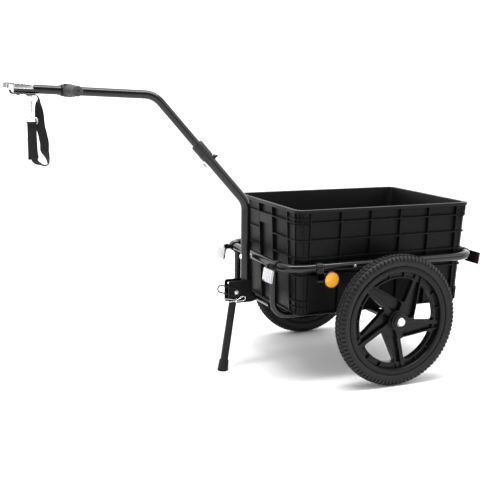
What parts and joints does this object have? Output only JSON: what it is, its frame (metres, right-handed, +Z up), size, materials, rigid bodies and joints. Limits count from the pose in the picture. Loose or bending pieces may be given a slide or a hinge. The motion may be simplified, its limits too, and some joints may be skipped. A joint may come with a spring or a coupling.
{
  "type": "bicycle cargo trailer",
  "caption": "Two-wheeled cargo trailer and hand cart: black plastic tub in a tube frame, cranked drawbar with coupling, safety strap and T handle, folding stand.",
  "frame": {"origin": "on the floor, at the middle of the bounding box's footprint", "axes": "+X rearwards along the trailer, away from the coupling, +Y to the trailer's right, +Z up"},
  "size_m": [1.4322, 0.6736, 0.8816],
  "materials": {
    "black_paint": "gloss black powder coat",
    "tub_plastic": "fine-grained black moulded plastic",
    "wheel_plastic": "satin black moulded plastic",
    "tyre_rubber": "dark grey-black tyre rubber",
    "rubber": "black rubber",
    "grip_rubber": "soft dark grey grip rubber",
    "zinc": "bright zinc plating",
    "steel": "plain steel",
    "webbing": "woven black webbing",
    "black_plastic": "satin black plastic",
    "amber_lens": "amber reflector",
    "clear_lens": "clear reflector",
    "red_lens": "red reflector"
  },
  "bodies": {
    "frame": {"axle_tube": "black_paint", "cargo_box": "tub_plastic", "collar_bolt": "zinc", "collar_wing_nut": "black_plastic", "coupling_front_bolt": "steel", "coupling_head": "zinc", "coupling_rear_bolt": "steel", "coupling_tongue": "black_paint", "drawbar_collar": "black_plastic", "drawbar_lower": "black_paint", "drawbar_upper": "black_paint", "front_left_reflector_housing": "black_plastic", "front_left_reflector_lens": "clear_lens", "front_right_reflector_housing": "black_plastic", "front_right_reflector_lens": "clear_lens", "handle_bar": "black_paint", "hook_swivel": "zinc", "hoop_bolt": "zinc", "hoop_tube": "black_paint", "left_axle_bolt": "zinc", "left_frame_leg": "black_paint", "left_handle_grip": "grip_rubber", "left_hoop_screw": "zinc", "left_side_reflector_housing": "black_plastic", "left_side_reflector_lens": "amber_lens", "lock_pin_clip": "zinc", "lock_pull_ring": "black_plastic", "lower_cross_tube": "black_paint", "rear_left_reflector_housing": "black_plastic", "rear_left_reflector_lens": "red_lens", "rear_right_reflector_housing": "black_plastic", "rear_right_reflector_lens": "red_lens", "right_axle_bolt": "zinc", "right_frame_leg": "black_paint", "right_handle_grip": "grip_rubber", "right_hoop_screw": "zinc", "right_side_reflector_housing": "black_plastic", "right_side_reflector_lens": "amber_lens", "safety_strap": "webbing", "stand_bracket": "black_paint", "stand_lock_pin": "zinc", "stand_pivot_bolt": "zinc", "stand_pivot_nut": "zinc", "strap_lug": "zinc", "strap_ring": "zinc"},
    "left_wheel_assembly": {"left_wheel": "wheel_plastic", "left_tyre": "tyre_rubber", "left_inner_tube": "rubber", "left_outer_bearing": "steel", "left_inner_bearing": "steel"},
    "right_wheel_assembly": {"right_wheel": "wheel_plastic", "right_tyre": "tyre_rubber", "right_inner_tube": "rubber", "right_outer_bearing": "steel", "right_inner_bearing": "steel"},
    "stand": {"stand_leg": "black_paint", "stand_foot": "rubber"},
    "hook": {"hook_body": "zinc"},
    "gate": {"hook_gate": "steel"}
  },
  "joints": [
    {"name": "left_wheel_spin", "type": "hinge", "parent": "frame", "child": "left_wheel_assembly", "pos_m": [0.3543, -0.3005, 0.19829], "axis": [0, 1, 0], "continuous": true},
    {"name": "right_wheel_spin", "type": "hinge", "parent": "frame", "child": "right_wheel_assembly", "pos_m": [0.3543, 0.3005, 0.19829], "axis": [0, 1, 0], "continuous": true},
    {"name": "stand_fold", "type": "hinge", "parent": "frame", "child": "stand", "pos_m": [-0.039, 0, 0.24999], "axis": [0, 1, 0], "range_deg": [0, 142]},
    {"name": "hook_turn", "type": "hinge", "parent": "frame", "child": "hook", "pos_m": [-0.63736, 0, 0.81], "axis": [0, 0, 1], "range_deg": [-20, 20]},
    {"name": "hook_gate", "type": "hinge", "parent": "hook", "child": "gate", "pos_m": [-0.63736, 0.0074, 0.79695], "axis": [1, 0, 0], "range_deg": [0, 30], "stiffness_Nm_per_rad": 0.05, "springref_deg": -17.19}
  ]
}
